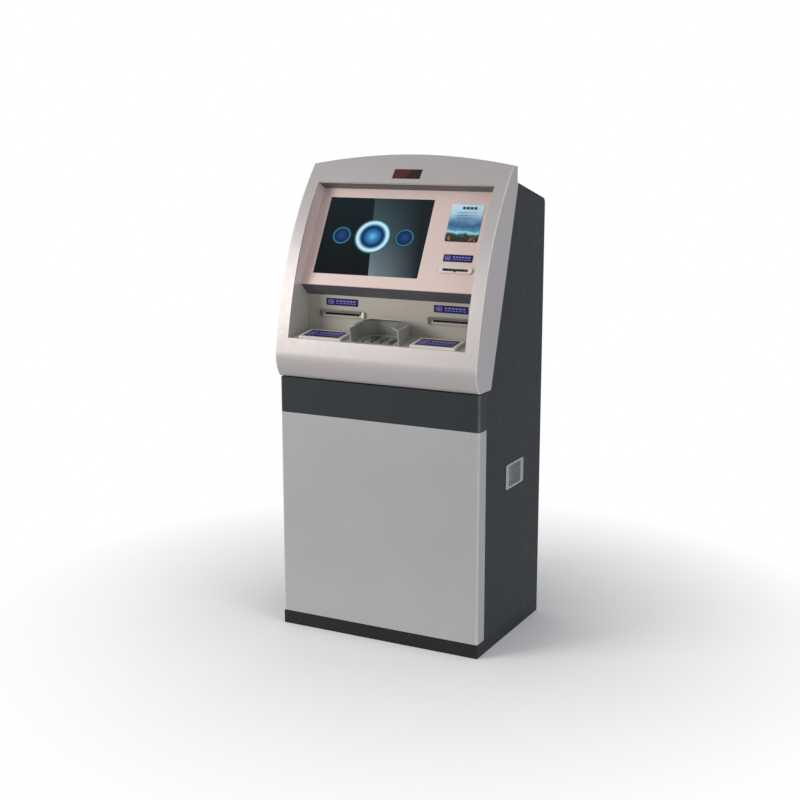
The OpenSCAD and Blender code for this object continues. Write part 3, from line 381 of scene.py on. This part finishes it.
def outer_side(middle, edge):
    """The corners where the fascia's front meets its two sides."""
    on_side = all(abs(v.co.x) > shell_high.x - on_face for v in edge.verts)
    return on_side and any(face.normal.y < -looks_along for face in edge.link_faces)


def crown_top(middle, edge):
    """The arched edges along the top of the crown, where a level face meets one that isn't."""
    rises = [face.normal.z for face in edge.link_faces]
    on_arch = max(rises) > arch_level and min(rises) < arch_drop
    return on_arch and middle.z > shell_high.z - crown_depth


def recess_rim(middle, edge):
    """The edges of the opening that the recess makes in the front."""
    inside = abs(middle.x) < shell_high.x - rim_inset
    return inside and any(face.normal.y < -looks_along for face in edge.link_faces)


round_edges(shell, sharp_edges(shell, outer_side), side_round, steps=5)
round_edges(shell, sharp_edges(shell, crown_top), crown_round, steps=3)
round_edges(shell, sharp_edges(shell, recess_rim), rim_round, steps=3)
finish_node("fascia_shell", silver, moulded_edge, shape=shell)

# ---- Recess liner and screen panel ----
# The recess is lined with satin painted mouldings: pinkish beige round the screen and greenish
# grey in the niche. The two undersides are painted dark grey as painted shade, since they face down.
step_height = 1.125    # the screen panel's lower edge
niche_grey = painted("greenish_grey_niche_paint", "#a5a197", "#c2c0b5", 0.45, grain=0.003)
panel_beige = painted(
    "pinkish_beige_panel_paint", "#cfbdb8", "#e3d8cd", 0.42, grain=0.003, peel=0.00004,
    clouding=0.02, Metallic=0.15)
underside_painted_shade = painted("dark_grey_underside_painted_shade", "#5a595e", "#7a797e", 0.5, grain=0.003)
liner = merged_copy("recess_liner")
bmesh.ops.bisect_plane(
    liner, geom=liner.verts[:] + liner.edges[:] + liner.faces[:],
    plane_co=(0, 0, step_height), plane_no=(0, 0, 1))


def paint_liner(shape):
    """Gives the liner's niche and its upper side walls their own paints, and paints its downward faces
    dark grey as painted shade.
    """
    for face in shape.faces:
        # Faces that look down get the dark grey painted shade
        if face.normal.z < -looks_along:
            face.material_index = 2
        elif face.calc_center_median().z > step_height:
            face.material_index = 1


finish_node(
    "recess_liner", niche_grey, moulded_edge, panel_beige, underside_painted_shade,
    shape=liner, detail=paint_liner)
finish_node("screen_panel", panel_beige, moulded_edge)

# ---- Touch screen ----
# Hardened glass over a lit panel. It shows a made-up start page: a dark field that turns
# lighter past a slanted line, with one large and two small glass buttons.
screen_size = (0.333, 0.263, 0.0)
slant_lean = (1, 0.11, 0)
slant_start = 0.54    # share of the width at which the lighter side begins
button_height = 0.1315
large_reach = 0.058
small_reach = 0.031
smudge_scale = 18    # finger smudges, 55 mm across
glass_wave_scale = 60    # slight waves in the glass, 17 mm across
glass_edge = 0.0006
across = Vector((1, 0, 0))


def plate_frames(shape):
    """Each loose plate's faces, with a matrix from shares of its width and height to its front."""
    taken, found = set(), []
    for first in shape.faces:
        if first in taken:
            continue
        taken.add(first)
        plate = [first]
        for face in plate:
            for near in (other for edge in face.edges for other in edge.link_faces):
                if near not in taken:
                    taken.add(near)
                    plate.append(near)
        front = max(plate, key=lambda face: face.calc_area() * (face.normal.z - face.normal.y))
        out = front.normal
        up = out.cross(across)
        sides = [v.co.x for face in plate for v in face.verts]
        ups = [v.co.dot(up) for face in plate for v in face.verts]
        corner = across * min(sides) + up * min(ups) + out * front.verts[0].co.dot(out)
        columns = (across * (max(sides) - min(sides)), up * (max(ups) - min(ups)), out, corner)
        found.append((plate, Matrix([[c[row] for c in columns] for row in range(3)] + [[0, 0, 0, 1]])))
    return found


def picture_coords(shape):
    """Gives each loose plate UVs that run from 0 to 1 across it and up it."""
    layer = shape.loops.layers.uv.new("picture")
    for plate, frame_of_plate in plate_frames(shape):
        inverse = frame_of_plate.inverted()
        for face in plate:
            for loop in face.loops:
                loop[layer].uv = (inverse @ loop.vert.co).xy


screen_glass, screen_surface, screen_place = new_finish("lit_screen_under_glass")
screen_uv = add_node(screen_glass, "UVMap", uv_map="picture")
screen_up = add_node(screen_glass, "SeparateXYZ", {"Vector": screen_uv}, out="Y")
slant = add_node(
    screen_glass, "VectorMath", {0: screen_uv, 1: slant_lean}, out="Value", operation="DOT_PRODUCT")
dark_side = add_node(
    screen_glass, "ValToRGB", {"Fac": screen_up}, stops=((0, "#050b0e"), (1, "#101c21")))
light_side = add_node(
    screen_glass, "ValToRGB", {"Fac": screen_up},
    stops=((0, "#728288"), (1, "#2b3e46"), (0.45, "#4c5e65")))
falling = add_node(
    screen_glass, "MapRange", {"Value": slant, "From Min": slant_start, "From Max": 1.0})
shaded_side = add_node(
    screen_glass, "Mix", {0: falling, 6: light_side, 7: linear("#141d21")}, out=2, data_type="RGBA")
past_line = add_node(screen_glass, "Math", {0: slant, 1: slant_start}, operation="GREATER_THAN")
page = add_node(
    screen_glass, "Mix", {0: past_line, 6: dark_side, 7: shaded_side}, out=2, data_type="RGBA")
screen_metres = add_node(
    screen_glass, "VectorMath", {0: screen_uv, 1: screen_size}, operation="MULTIPLY")
large_button = (
    (0, "#6cb8e4"), (1, "#0c2a34"), (0.25, "#2f80b8"), (0.48, "#114274"), (0.57, "#081a2c"),
    (0.66, "#2a6a96"), (0.76, "#a8d8ea"), (0.84, "#e0f2f6"), (0.92, "#4c94b4"))
small_button = (
    (0, "#24447c"), (1, "#0a161c"), (0.5, "#15305e"), (0.72, "#0c1e3c"), (0.86, "#2f7f9a"),
    (0.95, "#0f3442"))
for centre_across, reach, stops in (
        (0.1645, large_reach, large_button), (0.0646, small_reach, small_button),
        (0.2664, small_reach, small_button)):
    away = add_node(
        screen_glass, "VectorMath", {0: screen_metres, 1: (centre_across, button_height, 0)},
        out="Value", operation="DISTANCE")
    share = add_node(screen_glass, "Math", {0: away, 1: reach}, operation="DIVIDE")
    button = add_node(screen_glass, "ValToRGB", {"Fac": share}, stops=stops)
    inside = add_node(screen_glass, "Math", {0: share, 1: 1.0}, operation="LESS_THAN")
    page = add_node(screen_glass, "Mix", {0: inside, 6: page, 7: button}, out=2, data_type="RGBA")
smudges = add_node(
    screen_glass, "TexNoise",
    {"Vector": screen_place, "Scale": smudge_scale, "Detail": 5, "Roughness": 0.7})
screen_gloss = add_node(
    screen_glass, "MapRange", {"Value": smudges, "To Min": 0.06, "To Max": 0.2})
glass_waves = add_node(
    screen_glass, "TexNoise", {"Vector": screen_place, "Scale": glass_wave_scale, "Detail": 2})
screen_bump = add_node(
    screen_glass, "Bump", {"Height": glass_waves, "Strength": 0.3, "Distance": 0.00001})
set_sockets(screen_glass, screen_surface, {
    "Base Color": linear("#050607"), "Emission Color": page, "Emission Strength": 1.0,
    "Roughness": screen_gloss, "Specular IOR Level": 0.15, "Normal": screen_bump})
finish_node("touch_glass", screen_glass, glass_edge, detail=picture_coords)

# ---- Poster card and printed films ----
# A coloured card behind clear film, and navy films with pale print, all stuck on. The print is
# generic: a framed pictogram and rows of dashes stand for words.
print_lift = 0.00005
film_edge = 0.0003
poster_wave_scale = 26    # waves in the view, 38 mm across
meadow_top = 0.13
flower_scale = 130    # blooms 8 mm across
bloom_threshold = 0.66
poster, poster_surface, poster_place = new_finish("coloured_poster_card")
poster_uv = add_node(poster, "UVMap", uv_map="picture")
poster_waves = add_node(
    poster, "TexNoise",
    {"Vector": poster_place, "Scale": poster_wave_scale, "Detail": 3, "Distortion": 0.6})
poster_up = add_node(poster, "SeparateXYZ", {"Vector": poster_uv}, out="Y")
poster_shift = add_node(
    poster, "MapRange", {"Value": poster_waves, **noise_span, "To Min": -0.05, "To Max": 0.05})
poster_height = add_node(poster, "Math", {0: poster_up, 1: poster_shift}, operation="ADD")
poster_field = add_node(
    poster, "ValToRGB", {"Fac": poster_height},
    stops=((0, "#06120e"), (1, "#c0e0ee"), (0.12, "#0f3418"), (0.19, "#174a63"), (0.25, "#a8dce2"),
           (0.31, "#3a93b8"), (0.42, "#2b5c8c"), (0.6, "#6f9cc0"), (0.75, "#a4cfe4")))
flowers = add_node(
    poster, "TexVoronoi", {"Vector": poster_place, "Scale": flower_scale}, out="Color")
flower_tint = add_node(
    poster, "Mix", {0: flowers, 6: linear("#3f8f3a"), 7: linear("#a8361c")}, out=2, data_type="RGBA")
in_meadow = add_node(poster, "Math", {0: poster_height, 1: meadow_top}, operation="LESS_THAN")
chosen = add_node(poster, "Math", {0: flowers, 1: bloom_threshold}, operation="GREATER_THAN")
flower_share = add_node(poster, "Math", {0: in_meadow, 1: chosen}, operation="MULTIPLY")
poster_colour = add_node(
    poster, "Mix", {0: flower_share, 6: poster_field, 7: flower_tint}, out=2, data_type="RGBA")
poster_gloss = add_node(poster, "MapRange", {"Value": poster_waves, "To Min": 0.2, "To Max": 0.4})
poster_bump = add_node(poster, "Bump", {"Height": poster_waves, "Strength": 0.2, "Distance": 0.00003})
set_sockets(poster, poster_surface, {
    "Base Color": poster_colour, "Roughness": poster_gloss, "Normal": poster_bump})
finish_node("info_card", poster, film_edge, detail=picture_coords)


def print_marks(name, node, material, marks):
    """Prints thin rectangles on each plate of a node: left, low, right, high from 0 to 1."""
    plates = merged_copy(node)
    shape = bmesh.new()
    for _, frame_of_plate in plate_frames(plates):
        for left, low, right, high in marks:
            spot = Matrix.Translation(((left + right) / 2, (low + high) / 2, print_lift))
            size = Matrix.Diagonal((right - left, high - low, 1, 1))
            bmesh.ops.create_grid(
                shape, x_segments=1, y_segments=1, size=0.5, matrix=frame_of_plate @ spot @ size)
    plates.free()
    return make_piece(name, shape, body_of_node[node], material, slot=slot_of_node[node])


label_navy = moulded("navy_printed_film", "#120b54", 0.3, **coat_shine)
finish_node("label_plates", label_navy, film_edge)
ink_depth = 0.00001
pale_ink = moulded("pale_lilac_print", "#7775b8", 0.4, depth=ink_depth)
dark_ink = moulded("dark_blue_print", "#1b2c4e", 0.4, depth=ink_depth)
# Marks: left, low, right and high on their plate, from 0 to 1
words = [(0.32 + 0.105 * i, 0.54, 0.395 + 0.105 * i, 0.74) for i in range(6)]
small_words = [(0.32 + 0.08 * i, 0.26, 0.37 + 0.08 * i, 0.38) for i in range(8)]
pictogram = [
    (0.06, 0.2, 0.24, 0.28), (0.06, 0.72, 0.24, 0.8), (0.06, 0.2, 0.085, 0.8),
    (0.215, 0.2, 0.24, 0.8), (0.11, 0.4, 0.19, 0.6)]
title = [(0.35 + 0.115 * i, 0.87, 0.445 + 0.115 * i, 0.94) for i in range(4)]
text_lines = [(0.2, 0.775, 0.8, 0.785), (0.14, 0.7, 0.86, 0.71), (0.2, 0.63, 0.7, 0.638)]
print_marks("label_prints", "label_plates", pale_ink, words + small_words + pictogram)
print_marks("poster_title", "info_card", dark_ink, title)
print_marks("poster_lines", "info_card", dark_ink, text_lines)

# ---- Receipt bezel, slot bezels and reader pads ----
# Pale satin mouldings pressed into the panel and the niche. The slot hoods are painted darker
# than the niche, and a small lit lamp beside the left slot shows that it is ready.
bezel_edge = 0.001
pad_edge = 0.0012
hood_depth = 0.0095
lamp_depth = 0.0065
lamp_across = -0.1035
lamp_size = (0.0085, 0.0016, 0.019, 1)
lamp_edge = 0.0005
bezel_pale = moulded("pale_satin_bezel", "#cfccc4", 0.35)
slot_grey = painted("satin_grey_slot_hood", "#5f5d62", "#a9a7a5", 0.36, grain=0.002, Metallic=0.2)
finish_node("receipt_bezel", bezel_pale, bezel_edge)
slots_low, slots_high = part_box("slot_bezels")
hood_line = slots_low.y + hood_depth


def paint_hoods(shape):
    """Gives the hood its dark grey, and leaves the plate behind it in the niche's own paint."""
    for face in shape.faces:
        if face.calc_center_median().y > hood_line:
            face.material_index = 1


finish_node("slot_bezels", slot_grey, bezel_edge, niche_grey, detail=paint_hoods)
finish_node("reader_pads", bezel_pale, pad_edge)
lamp_green = moulded(
    "lit_green_lamp_lens", "#c4d6c6", 0.25, depth=ink_depth, **{
        "Emission Color": linear("#b4e8c4"), "Emission Strength": 0.25})
lamp = bmesh.new()
bmesh.ops.create_cube(lamp, size=1, matrix=(
    Matrix.Translation((lamp_across, slots_low.y + lamp_depth, (slots_low.z + slots_high.z) / 2))
    @ Matrix.Diagonal(lamp_size)))
lamp.faces.layers.float.new("edge_wear_and_highlight")
round_edges(lamp, sharp_edges(lamp), lamp_edge)
make_piece("slot_lamp", lamp, "fascia", lamp_green, slot=slot_of_node["slot_bezels"])

# ---- PIN shield and key pad ----
# A U-shaped painted shield stands round a brushed stainless pad with twelve metal keys. The
# digits are filled with dark enamel, and two keys have a red and a green bar.
lip_depth = 0.022
lip_round = 0.0016
shield_edge = 0.0006
pad_plate_edge = 0.0003
key_edge = 0.0006
digit_height = 0.0095
key_count = 12
red_key, zero_key, green_key = 10, 11, 12
bar_mark = [(0.2, 0.38, 0.8, 0.62)]
crosswise = (14, 1, 1)
# The shield's pale edge colour on its rounded rim is a painted highlight as well as wear.
shield_grey = painted("grey_metallic_shield_paint", "#8f918e", "#d6d6d0", 0.35, Metallic=0.4)
pad_steel = bare_metal("brushed_stainless_plate", "#6c7269", 0.42, along=crosswise)
key_metal = bare_metal("brushed_stainless_key", "#868a83", 0.42, along=crosswise)
enamel = moulded("dark_digit_enamel", "#1c1e20", 0.35, depth=ink_depth)
red_enamel = moulded("red_bar_enamel", "#a81e1c", 0.35, depth=ink_depth)
green_enamel = moulded("green_bar_enamel", "#1f7d3c", 0.35, depth=ink_depth)
shield = merged_copy("pin_shield")
lip_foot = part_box("pin_shield")[1].z - lip_depth
lip_edges = sharp_edges(shield, lambda middle, edge: middle.z > lip_foot)
round_edges(shield, lip_edges, lip_round, steps=3)
finish_node("pin_shield", shield_grey, shield_edge, shape=shield)
finish_node("pin_pad", pad_steel, pad_plate_edge)
for number in range(1, key_count + 1):
    key = f"key_{number}"
    finish_node(key, key_metal, key_edge)
    if number in (red_key, green_key):
        bar_enamel = red_enamel if number == red_key else green_enamel
        print_marks(key + "_bar", key, bar_enamel, bar_mark)
        continue
    letter = bpy.data.curves.new("digit", "FONT")
    letter.body = str(number % zero_key)
    letter.size = digit_height
    letter.align_x = "CENTER"
    letter.align_y = "CENTER"
    writing = bpy.data.objects.new("digit", letter)
    digit = bmesh.new()
    digit.from_mesh(bpy.data.meshes.new_from_object(writing))
    bpy.data.objects.remove(writing)
    plain_key = merged_copy(key)
    top = max(plain_key.faces, key=lambda face: face.calc_center_median().z)
    turned = Matrix((across, top.normal.cross(across), top.normal)).transposed().to_4x4()
    bmesh.ops.transform(
        digit, verts=digit.verts[:],
        matrix=Matrix.Translation(top.calc_center_median() + top.normal * print_lift) @ turned)
    plain_key.free()
    make_piece(key + "_digit", digit, body_of_node[key], enamel, slot=slot_of_node[key])

# ---- Sensor window and receipt paper ----
# A dark red smoked window in the crown, with a painted reflection that leaves it half dark red and
# half black across a slanted line. Behind the panel a white thermal paper roll feeds the receipt slot.
reflection_lean = (1, 0, -0.9)
reflection_split = -1.3189
dust_scale = 90    # faint dust, 11 mm across
window_edge = 0.0006
paper_edge = 0.0005
smoked, smoked_surface, smoked_place = new_finish("dark_red_smoked_window")
# The split into a dark red half and a black half is a painted reflection on the window.
reflection_line = add_node(
    smoked, "VectorMath", {0: smoked_place, 1: reflection_lean}, out="Value", operation="DOT_PRODUCT")
reflection_side = add_node(smoked, "Math", {0: reflection_line, 1: reflection_split}, operation="GREATER_THAN")
window_dust = add_node(
    smoked, "TexNoise", {"Vector": smoked_place, "Scale": dust_scale, "Detail": 4})
window_colour_and_painted_reflection = add_node(
    smoked, "Mix", {0: reflection_side, 6: linear("#4a100e"), 7: linear("#14080a")},
    out=2, data_type="RGBA")
window_gloss = add_node(smoked, "MapRange", {"Value": window_dust, "To Min": 0.05, "To Max": 0.2})
window_bump = add_node(smoked, "Bump", {"Height": window_dust, "Strength": 0.2, "Distance": 0.00001})
set_sockets(smoked, smoked_surface, {
    "Base Color": window_colour_and_painted_reflection, "Roughness": window_gloss, "Normal": window_bump})
finish_node("sensor_window", smoked, window_edge)
thermal_paper = moulded("white_thermal_paper", "#ecebe6", 0.7)
finish_node("paper_roll", thermal_paper, paper_edge)

# ---- Studio ----
# A plain pale floor that fades out round the machine, a soft key light from the upper left, a
# weaker fill from the right, an even sky that looks white to the camera, and the camera.
floor_half = 8
floor_tone_scale = 2
floor_solid = 0.45
floor_gone = 1.5
world_light = 0.48
softbox_size = 1.8
floor = bpy.data.objects.new("studio_floor", bpy.data.meshes.new("studio_floor"))
floor_shape = bmesh.new()
bmesh.ops.create_grid(floor_shape, x_segments=1, y_segments=1, size=floor_half)
floor_shape.to_mesh(floor.data)
floor_shape.free()
bpy.context.scene.collection.objects.link(floor)
floor_paint, floor_surface, floor_place = new_finish("pale_studio_floor")
floor_tone = add_node(
    floor_paint, "TexNoise", {"Vector": floor_place, "Scale": floor_tone_scale})
floor_grey = add_node(
    floor_paint, "MapRange", {"Value": floor_tone, "To Min": 0.86, "To Max": 0.9})
floor_reach = add_node(
    floor_paint, "VectorMath", {0: floor_place}, out="Value", operation="LENGTH")
floor_fade = add_node(
    floor_paint, "MapRange",
    {"Value": floor_reach, "From Min": floor_solid, "From Max": floor_gone,
     "To Min": 1.0, "To Max": 0.0})
set_sockets(floor_paint, floor_surface, {
    "Base Color": floor_grey, "Roughness": 0.7, "Alpha": floor_fade})
floor.data.materials.append(floor_paint)

world = bpy.data.worlds.new("studio")
world.use_nodes = True
sky = world.node_tree.nodes["Background"]
seen = add_node(world, "LightPath", out="Is Camera Ray")
sky_strength = add_node(world, "MapRange", {"Value": seen, "To Min": world_light, "To Max": 1.0})
set_sockets(world, sky, {"Color": linear("#ffffff"), "Strength": sky_strength})
bpy.context.scene.world = world
bpy.context.scene.view_settings.view_transform = "Standard"


def soft_light(name, place, aim, power, colour):
    """A square softbox at a place, turned to aim at a point."""
    light = bpy.data.lights.new(name, "AREA")
    light.size = softbox_size
    light.energy = power
    light.color = linear(colour)[:3]
    box = bpy.data.objects.new(name, light)
    box.location = place
    box.rotation_euler = (Vector(aim) - Vector(place)).to_track_quat("-Z", "Y").to_euler()
    bpy.context.scene.collection.objects.link(box)


soft_light("key_softbox", (-2.4, -2.7, 2.2), (0, 0, 0.9), 92, "#fff8f2")
soft_light("fill_softbox", (3.4, -1.2, 1.8), (0, 0, 1.0), 42, "#eef3ff")

camera = bpy.data.objects.new("camera", bpy.data.cameras.new("camera"))
camera.location = (1.9595, -3.8493, 1.6264)
camera.rotation_euler = [math.radians(a) for a in (78.46, 0.0, 27.44)]
camera.data.lens = 61.0
camera.data.sensor_width = 36.0
bpy.context.scene.collection.objects.link(camera)
bpy.context.scene.camera = camera
